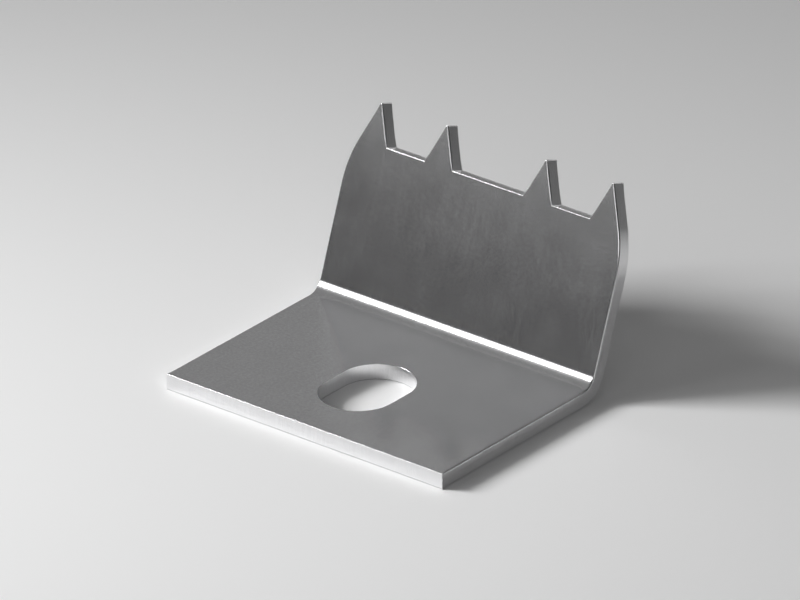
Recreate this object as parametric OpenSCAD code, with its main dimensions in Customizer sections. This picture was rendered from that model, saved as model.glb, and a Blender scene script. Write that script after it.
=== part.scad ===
// Mounting claw: one piece of sheet steel, punched flat and bent once.
// The foot lies flat and is screwed down through its slot. The flange stands up from the
// back of the foot, leans back, and ends in a row of pointed teeth that bite.
// Origin: the middle of the slot, on the underside of the foot. +X runs across the claw,
// +Y runs back from the slot to the flange, and +Z points up.

/* [Sheet] */
// Thickness of the sheet
sheet_t = 2; // [1:0.1:3]
// Width of the claw from side to side
claw_w = 40; // [38:0.5:80]

/* [Foot] */
// Flat length of the foot, from its front edge to the start of the bend
foot_l = 25.8; // [20:0.1:50]
// Distance from the front edge of the foot to the middle of the slot
slot_from_front = 11.5; // [8:0.1:13]
// Width of the slot
slot_w = 9.2; // [4:0.1:12]
// How far a screw that just fits the slot can slide along it, from front to back
slot_travel = 3.3; // [1:0.1:4]

/* [Bend] */
// Inside radius of the bend
bend_r = 2; // [0.5:0.1:5]
// Angle by which the flange is bent up out of the plane of the foot
bend_angle = 70; // [30:1:110]

/* [Flange] */
// Flat length of the flange, from the end of the bend to the points of the teeth
flange_l = 22.1; // [18:0.1:40]
// Radius of the shoulder, where the side of the flange turns into the flank of its last tooth
shoulder_r = 15; // [3:0.5:25]

/* [Teeth] */
// Height of the points above the straight edges between the teeth
tooth_h = 5; // [3:0.1:7]
// Angle at the point of a tooth, between its two flanks
tooth_angle = 45; // [30:1:55]
// Distance from the side of the claw to the point of its last tooth
point_inset = 3.2; // [2.5:0.1:4.5]
// Distance between the two points of a pair of teeth
pair_pitch = 9.6; // [8:0.1:12]
// Radius that dulls each point
point_r = 0.15; // [0.05:0.05:0.4]

/* [Hidden] */
$fn = 96;

// How far a cut reaches past the faces that it goes through
cut_past = 1;
// How far the arc of a rounded corner stands proud of the straight edges that it joins, so
// that arc and edge cross in one clean line
arc_proud = 0.0002;

// The bend turns about a line along X, this far behind the slot and above the underside
bend_y = foot_l - slot_from_front;
bend_z = sheet_t + bend_r;

// Level of the straight edges between the teeth, up the flange from the end of the bend
root_v = flange_l - tooth_h;
// Half the width of a tooth at its root
root_half = tooth_h * tan(tooth_angle / 2);
// Places of the four points across the claw, from right to left
last_point = claw_w / 2 - point_inset;
points_u = [last_point, last_point - pair_pitch, pair_pitch - last_point, -last_point];
// Level at which the outer flank of the last tooth would meet the side of the claw
shoulder_v = flange_l - point_inset / tan(tooth_angle / 2);

// What rounding takes off a convex corner that points along +Y, with its tip at the origin
module corner_waste(angle, r) {
    half_chord = r * cos(angle / 2);
    chord_depth = half_chord / tan(angle / 2);
    difference() {
        translate([-half_chord, -chord_depth])
            square([2 * half_chord, chord_depth + cut_past]);
        translate([0, (arc_proud - r) / sin(angle / 2)])
            circle(r = r);
    }
}

// All that lies on the hollow side of the fold, up to a face of the sheet that is r from
// the line of the bend: X runs back along the foot, Y up, and the origin is on that line
module hollow_side(r) {
    reach = foot_l + flange_l;
    difference() {
        intersection_for (leg_angle = [0, bend_angle])
            rotate(leg_angle)
                translate([-reach, -r])
                    square(2 * reach);
        rotate(180 + bend_angle / 2)
            translate([0, r / cos(bend_angle / 2)])
                corner_waste(180 - bend_angle, r);
    }
}

// The folded sheet seen from its right side, in the same plane
module sheet_profile() {
    reach = foot_l + flange_l;
    difference() {
        hollow_side(bend_r + sheet_t);
        hollow_side(bend_r);
        translate([-foot_l - 2 * reach, -reach])
            square(2 * reach);
        rotate(bend_angle)
            translate([flange_l, -reach])
                square(2 * reach);
    }
}

module folded_sheet() {
    translate([-claw_w / 2, bend_y, bend_z])
        rotate([90, 0, 90])
            linear_extrude(claw_w)
                sheet_profile();
}

// The slot, as a cut through the foot
module slot() {
    for (end = [-1, 1])
        translate([0, end * slot_travel / 2, -cut_past])
            cylinder(d = slot_w, h = sheet_t + 2 * cut_past);
    translate([-slot_w / 2, -slot_travel / 2, -cut_past])
        cube([slot_w, slot_travel, sheet_t + 2 * cut_past]);
}

// The gap between two neighbouring teeth, given the places of their points
module tooth_gap(left_u, right_u) {
    polygon([
        [left_u + root_half, root_v],
        [right_u - root_half, root_v],
        [right_u, flange_l],
        [right_u, flange_l + cut_past],
        [left_u, flange_l + cut_past],
        [left_u, flange_l]
    ]);
}

// What the right side of the flange loses beside its last tooth
module shoulder_waste() {
    beyond_u = claw_w / 2 + cut_past;
    polygon([
        [last_point, flange_l],
        [beyond_u, flange_l - (beyond_u - last_point) / tan(tooth_angle / 2)],
        [beyond_u, flange_l + cut_past],
        [last_point, flange_l + cut_past]
    ]);
    translate([claw_w / 2, shoulder_v])
        rotate(tooth_angle / 4 - 90)
            corner_waste(180 - tooth_angle / 2, shoulder_r);
}

// All that the punch takes off the flange: X across the claw, Y up from the end of the bend
module flange_waste() {
    for (i = [1 : len(points_u) - 1])
        tooth_gap(points_u[i], points_u[i - 1]);
    for (u = points_u)
        translate([u, flange_l])
            corner_waste(tooth_angle, point_r);
    shoulder_waste();
    mirror([1, 0])
        shoulder_waste();
}

module claw() {
    color("silver")
        difference() {
            folded_sheet();
            slot();
            translate([0, bend_y, bend_z])
                rotate([bend_angle, 0, 0])
                    translate([0, 0, -bend_z - cut_past])
                        linear_extrude(sheet_t + 2 * cut_past)
                            flange_waste();
        }
}

claw();
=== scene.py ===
import math

import bpy
import numpy as np
from mathutils import Matrix, Vector
from mathutils.geometry import delaunay_2d_cdt


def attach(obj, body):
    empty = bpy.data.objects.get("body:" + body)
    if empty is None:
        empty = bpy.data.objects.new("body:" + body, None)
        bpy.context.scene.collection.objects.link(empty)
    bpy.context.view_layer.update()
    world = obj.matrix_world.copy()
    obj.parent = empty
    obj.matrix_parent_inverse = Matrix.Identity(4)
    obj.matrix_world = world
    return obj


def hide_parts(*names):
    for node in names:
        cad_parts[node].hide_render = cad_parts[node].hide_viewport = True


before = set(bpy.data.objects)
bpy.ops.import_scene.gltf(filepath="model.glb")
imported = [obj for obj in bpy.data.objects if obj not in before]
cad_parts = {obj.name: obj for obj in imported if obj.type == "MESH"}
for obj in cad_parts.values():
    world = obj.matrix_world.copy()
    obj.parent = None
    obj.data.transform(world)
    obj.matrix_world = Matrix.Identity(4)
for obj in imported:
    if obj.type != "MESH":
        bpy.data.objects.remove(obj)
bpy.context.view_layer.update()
scene = bpy.context.scene
scene.view_settings.view_transform = "Standard"

# Camera
# A very long lens looks from the front right, a little above the claw, as in the photograph.
camera_turn = math.radians(38.66)
camera_tilt = math.radians(26.51)
camera_roll = math.radians(-0.1)
camera_distance = 1.5982
camera_aim = Vector((0, 0.0015, 0.010))
camera_aside = 0.002795
camera_rise = 0.002222
focal_length = 635.1
sensor_width = 36

to_right = Vector((math.cos(camera_turn), math.sin(camera_turn), 0))
to_camera = Vector((
    math.sin(camera_turn) * math.cos(camera_tilt),
    -math.cos(camera_turn) * math.cos(camera_tilt),
    math.sin(camera_tilt),
))
to_top = to_camera.cross(to_right)
picture_right = math.cos(camera_roll) * to_right + math.sin(camera_roll) * to_top
picture_top = math.cos(camera_roll) * to_top - math.sin(camera_roll) * to_right

camera_data = bpy.data.cameras.new("long_lens")
camera_data.sensor_width = sensor_width
camera_data.lens = focal_length
camera = bpy.data.objects.new("camera", camera_data)
scene.collection.objects.link(camera)
axes = Matrix((picture_right, picture_top, to_camera)).transposed().to_4x4()
axes.translation = (
    camera_aim + camera_distance * to_camera
    + camera_aside * picture_right + camera_rise * picture_top
)
camera.matrix_world = axes
scene.camera = camera

# Floor
# A plain pale board, matt and seamless, on which the claw lies.
floor_half = 1.5
floor_z = -0.00001
floor_colour = (0.86, 0.86, 0.86, 1)
floor_roughness = 0.95
floor_gloss = 0.1

floor_mesh = bpy.data.meshes.new("floor")
floor_mesh.from_pydata(
    [(x * floor_half, y * floor_half, floor_z) for x, y in ((-1, -1), (1, -1), (1, 1), (-1, 1))],
    [],
    [(0, 1, 2, 3)],
)
floor = bpy.data.objects.new("floor", floor_mesh)
scene.collection.objects.link(floor)
floor_paint = bpy.data.materials.new("matt_board")
floor_paint.use_nodes = True
floor_shader = floor_paint.node_tree.nodes["Principled BSDF"]
floor_shader.inputs["Base Color"].default_value = floor_colour
floor_shader.inputs["Roughness"].default_value = floor_roughness
floor_shader.inputs["Specular IOR Level"].default_value = floor_gloss
floor_mesh.materials.append(floor_paint)

# Studio light
# The sky is a soft grey dome: a bright arch on the left, a dimmer one low on the right, and a pale
# patch overhead. Each arch is a curve over X times a curve over Z of the direction, both given as
# places and brightnesses. The lamps are soft boxes that face the claw.
sky_strength = 0.27
arch_left_side = (
    (-1.00, 0.30), (-0.74, 0.92), (-0.46, 1.00), (-0.26, 0.30), (0.10, 0.08), (1.00, 0.00),
)
arch_left_height = (
    (0.00, 0.12), (0.20, 0.14), (0.38, 0.96), (0.60, 0.98), (0.82, 0.94), (1.00, 1.00),
)
arch_right_side = ((-0.20, 0.00), (0.30, 0.10), (0.60, 0.20), (0.80, 0.18), (1.00, 0.12))
arch_right_height = (
    (0.00, 0.20), (0.20, 0.40), (0.35, 1.00), (0.55, 1.00), (0.78, 0.35), (1.00, 0.25),
)
overhead_strength = 0.20
overhead_starts = 0.93
overhead_whole = 0.975

world = bpy.data.worlds.new("studio")
world.use_nodes = True
scene.world = world
sky = world.node_tree
sky_light = sky.nodes["Background"]
direction = sky.nodes.new("ShaderNodeTexCoord")
parts = sky.nodes.new("ShaderNodeSeparateXYZ")
sky.links.new(direction.outputs["Generated"], parts.inputs[0])


def sky_curve(axis, places):
    """A smooth curve of brightness over one axis of the direction, through the given places, and
    level beyond the first and the last."""
    node = sky.nodes.new("ShaderNodeFloatCurve")
    node.mapping.extend = "HORIZONTAL"
    curve = node.mapping.curves[0]
    node.mapping.clip_min_x = -1
    node.mapping.clip_max_x = 1
    node.mapping.clip_max_y = 2
    for at, brightness in places[1:-1]:
        curve.points.new(at, brightness)
    curve.points[0].location = places[0]
    curve.points[-1].location = places[-1]
    node.mapping.update()
    sky.links.new(parts.outputs[axis], node.inputs["Value"])
    return node.outputs["Value"]


def combine(tree, operation, a, b):
    """One math node of a tree: the named operation on a and b, each of them a socket or a number."""
    node = tree.nodes.new("ShaderNodeMath")
    node.operation = operation
    for value, socket in zip((a, b), node.inputs):
        if isinstance(value, (int, float)):
            socket.default_value = value
        else:
            tree.links.new(value, socket)
    return node.outputs["Value"]


overhead = sky.nodes.new("ShaderNodeMapRange")
overhead.interpolation_type = "SMOOTHSTEP"
overhead.inputs["From Min"].default_value = overhead_starts
overhead.inputs["From Max"].default_value = overhead_whole
overhead.inputs["To Min"].default_value = 0
overhead.inputs["To Max"].default_value = overhead_strength
sky.links.new(parts.outputs["Z"], overhead.inputs["Value"])
arch_left = combine(
    sky, "MULTIPLY", sky_curve("X", arch_left_side), sky_curve("Z", arch_left_height)
)
arch_right = combine(
    sky, "MULTIPLY", sky_curve("X", arch_right_side), sky_curve("Z", arch_right_height)
)
arches = combine(sky, "MULTIPLY", combine(sky, "ADD", arch_left, arch_right), sky_strength)
strength = combine(sky, "MAXIMUM", arches, overhead.outputs["Result"])
sky.links.new(strength, sky_light.inputs["Strength"])
sky_light.inputs["Color"].default_value = (1, 1, 1, 1)


def soft_box(name, turn, rise, distance, width, height, radiance, spread=180, aside=0):
    """A soft box that faces the claw, or a point aside of it along X. It stands at distance from
    the claw: turn counts in degrees from the front towards the right, and rise from the floor. Its
    power is its radiance times pi times its area."""
    turn, rise = math.radians(turn), math.radians(rise)
    towards = Vector((
        math.sin(turn) * math.cos(rise),
        -math.cos(turn) * math.cos(rise),
        math.sin(rise),
    ))
    data = bpy.data.lights.new(name, "AREA")
    data.shape = "RECTANGLE"
    data.size = width
    data.size_y = height
    data.energy = radiance * math.pi * width * height
    data.spread = math.radians(spread)
    lamp = bpy.data.objects.new(name, data)
    lamp.location = camera_aim + distance * towards
    lamp.rotation_mode = "QUATERNION"
    lamp.rotation_quaternion = (distance * towards - Vector((aside, 0, 0))).to_track_quat("Z", "Y")
    lamp.visible_camera = False
    scene.collection.objects.link(lamp)


# The key casts the shadow. The lamps named for an edge, the ridge, the bend strip or the flange
# are there for what the metal mirrors of them, and the panels lighten the claw from the right.
soft_box("key", -57, 28, 0.44, 0.15, 0.135, 5.2, spread=64, aside=0.06)
soft_box("bend_strip_light", -38, 27.3, 0.33, 0.15, 0.138, 2.3)
soft_box("flange_glow", -36, 12, 0.22, 0.14, 0.028, 0.10)
soft_box("edge_light", 20, 25, 0.60, 0.48, 0.14, 1.6)
soft_box("back_edge_light", 180, 31, 0.60, 0.34, 0.14, 0.30)
soft_box("ridge_light", 180, 14, 0.60, 0.36, 0.12, 0.8)
soft_box("right_back_panel", 140, 27, 0.60, 0.34, 0.28, 0.14)
soft_box("right_high_panel", 66, 52, 0.60, 0.20, 0.20, 0.25)
soft_box("right_low_panel", 38, 8, 0.60, 0.34, 0.14, 0.20)

# Claw
# One piece of 2 mm sheet steel, punched flat, bent once and zinc plated, with edges that the punch
# and the tumbling barrel rolled over. Sizes are in millimetres, and on the flat blank u runs
# across, s back from the front edge, and h up from the underside.
sheet_t = 2.0
claw_w = 40.0
foot_l = 25.8
slot_from_front = 11.5
slot_w = 9.2
slot_travel = 3.3
bend_r = 2.0
bend_angle = math.radians(70)
flange_l = 22.1
shoulder_r = 15.0
tooth_h = 5.0
tooth_angle = math.radians(45)
point_inset = 3.2
pair_pitch = 9.6
point_r = 0.15
edge_roll = 0.21
mm = 0.001

side_u = claw_w / 2
bend_l = (bend_r + sheet_t / 2) * bend_angle
flange_s = foot_l + bend_l
point_s = flange_s + flange_l
root_s = point_s - tooth_h
flank_turn = tooth_angle / 2
root_half = tooth_h * math.tan(flank_turn)
last_point = side_u - point_inset
points_u = (last_point, last_point - pair_pitch, pair_pitch - last_point, -last_point)
shoulder_meet = point_s - point_inset / math.tan(flank_turn)
shoulder_start = shoulder_meet - shoulder_r * math.tan(flank_turn / 2)

# How finely the outline is divided: the steps of its straight runs, and the number of segments in
# each round one and of strips in the bend.
side_step = 1.0
flank_step = 0.5
root_step = 0.8
slot_step = 0.5
shoulder_segments = 16
point_segments = 10
slot_end_segments = 56
bend_strips = 28
bend_step = bend_l / bend_strips
bend_rows = np.linspace(foot_l, flange_s, bend_strips + 1)


def straight(start, end, step):
    """A straight run of the outline: points at equal steps, and the normal into the sheet at each,
    which is the travel direction turned a quarter to the left."""
    start, end = np.array(start, float), np.array(end, float)
    along = end - start
    count = max(1, round(np.linalg.norm(along) / step))
    share = np.linspace(0, 1, count + 1)[:, None]
    travel = along / np.linalg.norm(along)
    inward = np.array((-travel[1], travel[0]))
    return start + share * along, np.repeat(inward[None], count + 1, 0)


def arc(centre, radius, start, end, count):
    """A round run: centre plus radius times (cos, sin) of evenly spaced angles. The normal into
    the sheet points to the centre where the run turns left, and away from it otherwise."""
    angle = np.linspace(start, end, count + 1)
    spoke = np.stack((np.cos(angle), np.sin(angle)), 1)
    side = -1 if end > start else 1
    return np.array(centre) + radius * spoke, side * spoke


def point_arc(u):
    """The dulled point of a tooth: an arc that touches both flanks, with its centre below the
    sharp point by its radius over the sine of the flank's turn."""
    drop = point_r / math.sin(flank_turn)
    return arc((u, point_s - drop), point_r, flank_turn, math.pi - flank_turn, point_segments)


def closed_loop(runs):
    """Joins runs end to end into one closed loop: its points, the normals at the start and end of
    each segment, and the mitre by which a point moves when the edge moves in by one, which is the
    sum of its two normals over one plus their dot product."""
    points = np.concatenate([p[:-1] for p, n in runs])
    starts = np.concatenate([n[:-1] for p, n in runs])
    ends = np.concatenate([n[1:] for p, n in runs])
    before = np.roll(ends, 1, 0)
    mitre = (before + starts) / (1 + (before * starts).sum(1))[:, None]
    return points, starts, ends, mitre


right_side = [
    straight((side_u, 0), (side_u, foot_l), side_step),
    straight((side_u, foot_l), (side_u, flange_s), bend_step),
    straight((side_u, flange_s), (side_u, shoulder_start), side_step),
    arc((side_u - shoulder_r, shoulder_start), shoulder_r, 0, flank_turn, shoulder_segments),
]
left_side = [
    arc(
        (shoulder_r - side_u, shoulder_start), shoulder_r,
        math.pi - flank_turn, math.pi, shoulder_segments,
    ),
    straight((-side_u, shoulder_start), (-side_u, flange_s), side_step),
    straight((-side_u, flange_s), (-side_u, foot_l), bend_step),
    straight((-side_u, foot_l), (-side_u, 0), side_step),
]
runs = [straight((-side_u, 0), (side_u, 0), side_step)] + right_side
for u, next_u in zip(points_u, points_u[1:] + (None,)):
    tip = point_arc(u)
    runs += [straight(runs[-1][0][-1], tip[0][0], flank_step), tip]
    if next_u is not None:
        root = (u - root_half, root_s)
        next_root = (next_u + root_half, root_s)
        runs.append(straight(tip[0][-1], root, flank_step))
        runs.append(straight(root, next_root, root_step))
runs.append(straight(runs[-1][0][-1], left_side[0][0][0], flank_step))
runs += left_side
outline = closed_loop(runs)

slot_r = slot_w / 2
slot_front = slot_from_front - slot_travel / 2
slot_back = slot_from_front + slot_travel / 2
slot_rim = closed_loop([
    straight((slot_r, slot_back), (slot_r, slot_front), slot_step),
    arc((0, slot_front), slot_r, 0, -math.pi, slot_end_segments),
    straight((-slot_r, slot_front), (-slot_r, slot_back), slot_step),
    arc((0, slot_back), slot_r, math.pi, 0, slot_end_segments),
])

# The edge seen in section: the level of the face or of mid-sheet that each row starts from, how far
# a full roll moves it in and up from there, and its outward and upward normal. The upper roll, the
# cut wall and the lower roll follow each other.
roll_rows = 8
upper = np.radians(np.linspace(90, 0, roll_rows))
lower = np.radians(np.linspace(0, -90, roll_rows))
section_level = sheet_t * np.repeat((1, 0.5, 0), (roll_rows, 1, roll_rows))
section_in = edge_roll * np.concatenate((1 - np.cos(upper), [0], 1 - np.cos(lower)))
section_up = edge_roll * np.concatenate((np.sin(upper) - 1, [0], 1 + np.sin(lower)))
section_out_n = np.concatenate((np.cos(upper), [1], np.cos(lower)))
section_up_n = np.concatenate((np.sin(upper), [0], np.sin(lower)))
rows = len(section_in)


def fold(u, s, h):
    """Bends the flat blank: s runs back from the front edge, and h up from the underside. Past the
    foot, s turns the sheet round the line of the bend, and what is left of s goes up the flange."""
    turn = np.clip((s - foot_l) / bend_l, 0, 1) * bend_angle
    reach = bend_r + sheet_t - h
    up_flange = np.maximum(s - flange_s, 0)
    y = np.minimum(s, foot_l) - slot_from_front + reach * np.sin(turn) + up_flange * np.cos(turn)
    z = bend_r + sheet_t - reach * np.cos(turn) + up_flange * np.sin(turn)
    return np.stack((u, y, z), -1)


def fold_normal(s, nu, ns, nh):
    """Turns a direction on the flat blank about X, by as much as the sheet is bent at s."""
    turn = np.clip((s - foot_l) / bend_l, 0, 1) * bend_angle
    return np.stack((
        nu,
        ns * np.cos(turn) - nh * np.sin(turn),
        ns * np.sin(turn) + nh * np.cos(turn),
    ), -1)


def rim_wall(loop, width_scale, height_scale):
    """The edge section carried along a loop: each row moves the points in along their mitres, by
    its own inset times the width scale, and lies at its level plus its rise times the height scale.
    Returned are the places on the flat blank, row by row, the quads, and the four corner normals of
    each quad."""
    points, starts, ends, mitre = loop
    count = len(points)
    inset = section_in[:, None] * width_scale
    height = section_level[:, None] + section_up[:, None] * height_scale
    height = np.broadcast_to(height, (rows, count))
    place = np.concatenate((points[None] + inset[..., None] * mitre[None], height[..., None]), 2)
    k, i = np.meshgrid(np.arange(rows - 1), np.arange(count), indexing="ij")
    j = (i + 1) % count
    quads = np.stack((k * count + i, (k + 1) * count + i, (k + 1) * count + j, k * count + j), -1)

    def normal(inward, row, point):
        flat = -inward * section_out_n[row][..., None]
        return fold_normal(place[row, point, 1], flat[..., 0], flat[..., 1], section_up_n[row])

    corner_normals = np.stack((
        normal(starts[i], k, i),
        normal(starts[i], k + 1, i),
        normal(ends[i], k + 1, j),
        normal(ends[i], k, j),
    ), 2)
    return place.reshape(-1, 3), quads.reshape(-1, 4), corner_normals.reshape(-1, 4, 3)


def by_roll(upper_scale, lower_scale):
    """One scale repeated over the rows of the upper roll and the wall, and another over those of the
    lower roll. Each is a list over the points of the loop, or a list of one for all of them."""
    return np.repeat((upper_scale, lower_scale), (roll_rows + 1, roll_rows), 0)


def nearest(points, others):
    """The distance from each point to the nearest of the others."""
    return np.linalg.norm(points[:, None] - others[None], axis=2).min(1)


# Shares of a full roll, and the distances over which it grows back to the whole. Close to a point
# there is less metal to roll over, and the front edge, the gaps between the teeth and the slot are
# cut more cleanly than the sides. At the lower edge of the front and of the slot the roll is narrow
# but keeps its full height.
point_roll = 0.55
point_near = 0.3
point_far = 1.2
front_roll = 0.25
gap_roll = 0.45
clean_cut_far = 0.9
slot_roll = 0.2
slot_lower_roll = 0.35
root_margin = 0.01

outline_u, outline_s = outline[0].T
tips = np.array([(u, point_s) for u in points_u])
to_tip = nearest(outline[0], tips)
tip_scale = np.interp(to_tip, (point_near, point_far), (point_roll, 1))
in_gap = (np.abs(outline_u) < last_point) & (outline_s > root_s - root_margin)
from_cut = np.where(in_gap, outline_s - root_s, outline_s)
cut_scale = np.interp(from_cut, (0, clean_cut_far), (0, 1))
cut_scale += (1 - cut_scale) * np.where(in_gap, gap_roll, front_roll)
outer_scale = np.minimum(tip_scale, cut_scale)
outer_height = by_roll(outer_scale, np.where(in_gap, outer_scale, tip_scale))
outer_place, outer_quads, outer_normals = rim_wall(outline, outer_scale[None], outer_height)
slot_place, slot_quads, slot_normals = rim_wall(
    slot_rim, by_roll([slot_roll], [slot_lower_roll]), by_roll([slot_roll], [1])
)

# Both flat faces share one net of triangles between the outline and the slot. Its inner points
# stand on a grid whose lines run across the bend, so that the bend is made of level strips.
net_step = 2.0
net_margin = 1.0
net_front = 1.3
flange_net_step = 1.5
net_clearance = 0.7

outer_count, slot_count = len(outline[0]), len(slot_rim[0])
outer_edge = outer_place[:outer_count, :2]
slot_edge = slot_place[:slot_count, :2]
grid_u = np.arange(net_margin - side_u, side_u, net_step)
grid_s = np.concatenate((
    np.arange(net_front, foot_l - net_margin, net_step),
    bend_rows,
    np.arange(flange_s + flange_net_step, point_s, flange_net_step),
))
grid = np.stack(np.meshgrid(grid_u, grid_s), -1).reshape(-1, 2)


def inside(points, loop):
    """True where a point lies within a closed loop: a level ray from it crosses the loop an odd
    number of times."""
    a, b = loop[None], np.roll(loop, -1, 0)[None]
    x, y = points[:, None, 0], points[:, None, 1]
    spans = (a[..., 1] > y) != (b[..., 1] > y)
    rise = np.where(b[..., 1] == a[..., 1], 1, b[..., 1] - a[..., 1])
    crossing = a[..., 0] + (y - a[..., 1]) / rise * (b[..., 0] - a[..., 0])
    return (spans & (crossing > x)).sum(1) % 2 == 1


grid = grid[
    inside(grid, outer_edge) & ~inside(grid, slot_edge)
    & (nearest(grid, outer_edge) > net_clearance) & (nearest(grid, slot_edge) > net_clearance)
]
net = np.concatenate((outer_edge, slot_edge, grid))
ring = np.arange(outer_count)
slot_ring = outer_count + np.arange(slot_count)
borders = np.concatenate((
    np.stack((ring, np.roll(ring, -1)), 1),
    np.stack((slot_ring, np.roll(slot_ring, -1)), 1),
))
whole_hull = 0
weld_distance = 1e-7
_, _, triangles, origins, _, _ = delaunay_2d_cdt(
    [Vector(p) for p in net], borders.tolist(), [], whole_hull, weld_distance, True
)
net_index = np.array([group[0] for group in origins])
triangles = net_index[np.array(triangles)]
middle = net[triangles].mean(1)
triangles = triangles[inside(middle, outer_edge) & ~inside(middle, slot_edge)]

# All the vertices in one list: the wall of the outline, the wall of the slot, and the inner points
# of the net twice, for the upper and the lower face.
outer_total, slot_total = rows * outer_count, rows * slot_count
grid_start = outer_total + slot_total
grid_count = len(grid)
upper_index = np.concatenate((
    np.arange(outer_count),
    outer_total + np.arange(slot_count),
    grid_start + np.arange(grid_count),
))
lower_index = np.concatenate((
    outer_total - outer_count + np.arange(outer_count),
    grid_start - slot_count + np.arange(slot_count),
    grid_start + grid_count + np.arange(grid_count),
))
place = np.concatenate((
    outer_place, slot_place,
    np.column_stack((grid, np.full(grid_count, sheet_t))),
    np.column_stack((grid, np.zeros(grid_count))),
))
cut_share = np.concatenate((
    np.repeat(section_out_n, outer_count),
    np.repeat(section_out_n, slot_count),
    np.zeros(2 * grid_count),
))

quads = np.concatenate((outer_quads, slot_quads + outer_total))
upper_faces = upper_index[triangles]
lower_faces = lower_index[triangles[:, ::-1]]
none, whole = np.zeros(triangles.shape), np.ones(triangles.shape)
corner_normals = np.concatenate((
    outer_normals.reshape(-1, 3), slot_normals.reshape(-1, 3),
    fold_normal(place[upper_faces, 1], none, none, whole).reshape(-1, 3),
    fold_normal(place[lower_faces, 1], none, none, -whole).reshape(-1, 3),
))

claw_mesh = bpy.data.meshes.new("claw_sheet")
claw_mesh.from_pydata(
    (fold(*place.T) * mm).tolist(), [],
    quads.tolist() + upper_faces.tolist() + lower_faces.tolist(),
)
claw_mesh.polygons.foreach_set("use_smooth", np.ones(len(claw_mesh.polygons), bool))
claw_mesh.normals_split_custom_set(corner_normals.tolist())
blank_place = claw_mesh.attributes.new("blank_place", "FLOAT_VECTOR", "POINT")
blank_place.data.foreach_set("vector", place.astype(np.float32).ravel())
cut_edge = claw_mesh.attributes.new("cut_edge", "FLOAT", "POINT")
cut_edge.data.foreach_set("value", cut_share.astype(np.float32))
claw = bpy.data.objects.new("claw_sheet", claw_mesh)
scene.collection.objects.link(claw)

# Zinc on rolled steel: a satin metal, a trace bluer than grey, with a fine grain and faint lines
# along the rolling direction. The cut edges are lighter and a little rougher, and their lines run
# through the thickness.
grain_tone = 0.055
grain_rough = 0.008
grain_relief = 0.7
rolling_tone = 0.012
rolling_rough = 0.004
rolling_relief = 0.3
face_tones = (0.73, 0.77)
face_roughs = (0.16, 0.17)
cut_tones = (0.86, 0.93)
cut_roughs = (0.19, 0.23)
blue_share = 1.01
relief_strength = 0.5
relief_depth = 0.0000015
noise_low = 0.3
noise_high = 0.7

plating = bpy.data.materials.new("zinc_plating")
plating.use_nodes = True
zinc = plating.node_tree
metal = zinc.nodes["Principled BSDF"]
metal.inputs["Metallic"].default_value = 1
blank = zinc.nodes.new("ShaderNodeAttribute")
blank.attribute_name = "blank_place"
cut = zinc.nodes.new("ShaderNodeAttribute")
cut.attribute_name = "cut_edge"


def noise(name, stretch, detail):
    """A noise over the flat blank, with stretch giving its grains per millimetre along u, s and h,
    and detail how many finer noises lie on it."""
    mapping = zinc.nodes.new("ShaderNodeMapping")
    mapping.inputs["Scale"].default_value = stretch
    zinc.links.new(blank.outputs["Vector"], mapping.inputs["Vector"])
    texture = zinc.nodes.new("ShaderNodeTexNoise")
    texture.name = name
    texture.inputs["Scale"].default_value = 1
    texture.inputs["Detail"].default_value = detail
    zinc.links.new(mapping.outputs["Vector"], texture.inputs["Vector"])
    return texture.outputs["Fac"]


def spread_out(value, low, high):
    """Carries a noise value from its middle range to low and high, in proportion."""
    node = zinc.nodes.new("ShaderNodeMapRange")
    node.inputs["From Min"].default_value = noise_low
    node.inputs["From Max"].default_value = noise_high
    node.inputs["To Min"].default_value = low
    node.inputs["To Max"].default_value = high
    zinc.links.new(value, node.inputs["Value"])
    return node.outputs["Result"]


def add(a, b):
    """The sum of two values of the plating."""
    return combine(zinc, "ADD", a, b)


def face_to_cut(face_value, cut_value):
    """The value of the face, plus the cut share times the difference between that of the cut edge
    and it, so the flat is all face, the wall all cut edge, and the roll a blend."""
    difference = combine(zinc, "SUBTRACT", cut_value, face_value)
    return add(face_value, combine(zinc, "MULTIPLY", cut.outputs["Fac"], difference))


grain = noise("grain", (3, 3, 3), 3)
cloud = noise("cloud", (0.25, 0.25, 0.25), 3)
rolling_lines = noise("rolling_lines", (1.8, 0.2, 1), 2)
shear_lines = noise("shear_lines", (7, 7, 0.4), 2)

fine_tone = add(
    spread_out(grain, -grain_tone, grain_tone),
    spread_out(rolling_lines, -rolling_tone, rolling_tone),
)
face_tone = add(fine_tone, spread_out(cloud, *face_tones))
tone = face_to_cut(face_tone, spread_out(shear_lines, *cut_tones))
colour = zinc.nodes.new("ShaderNodeCombineColor")
zinc.links.new(tone, colour.inputs["Red"])
zinc.links.new(tone, colour.inputs["Green"])
zinc.links.new(combine(zinc, "MULTIPLY", tone, blue_share), colour.inputs["Blue"])
zinc.links.new(colour.outputs["Color"], metal.inputs["Base Color"])

fine_rough = add(
    spread_out(grain, -grain_rough, grain_rough),
    spread_out(rolling_lines, -rolling_rough, rolling_rough),
)
face_rough = add(fine_rough, spread_out(cloud, *face_roughs))
rough = face_to_cut(face_rough, spread_out(shear_lines, *cut_roughs))
zinc.links.new(rough, metal.inputs["Roughness"])

relief = add(spread_out(grain, 0, grain_relief), spread_out(rolling_lines, 0, rolling_relief))
bump = zinc.nodes.new("ShaderNodeBump")
bump.inputs["Strength"].default_value = relief_strength
bump.inputs["Distance"].default_value = relief_depth
zinc.links.new(relief, bump.inputs["Height"])
zinc.links.new(bump.outputs["Normal"], metal.inputs["Normal"])
claw_mesh.materials.append(plating)

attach(claw, "root")
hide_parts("claw")
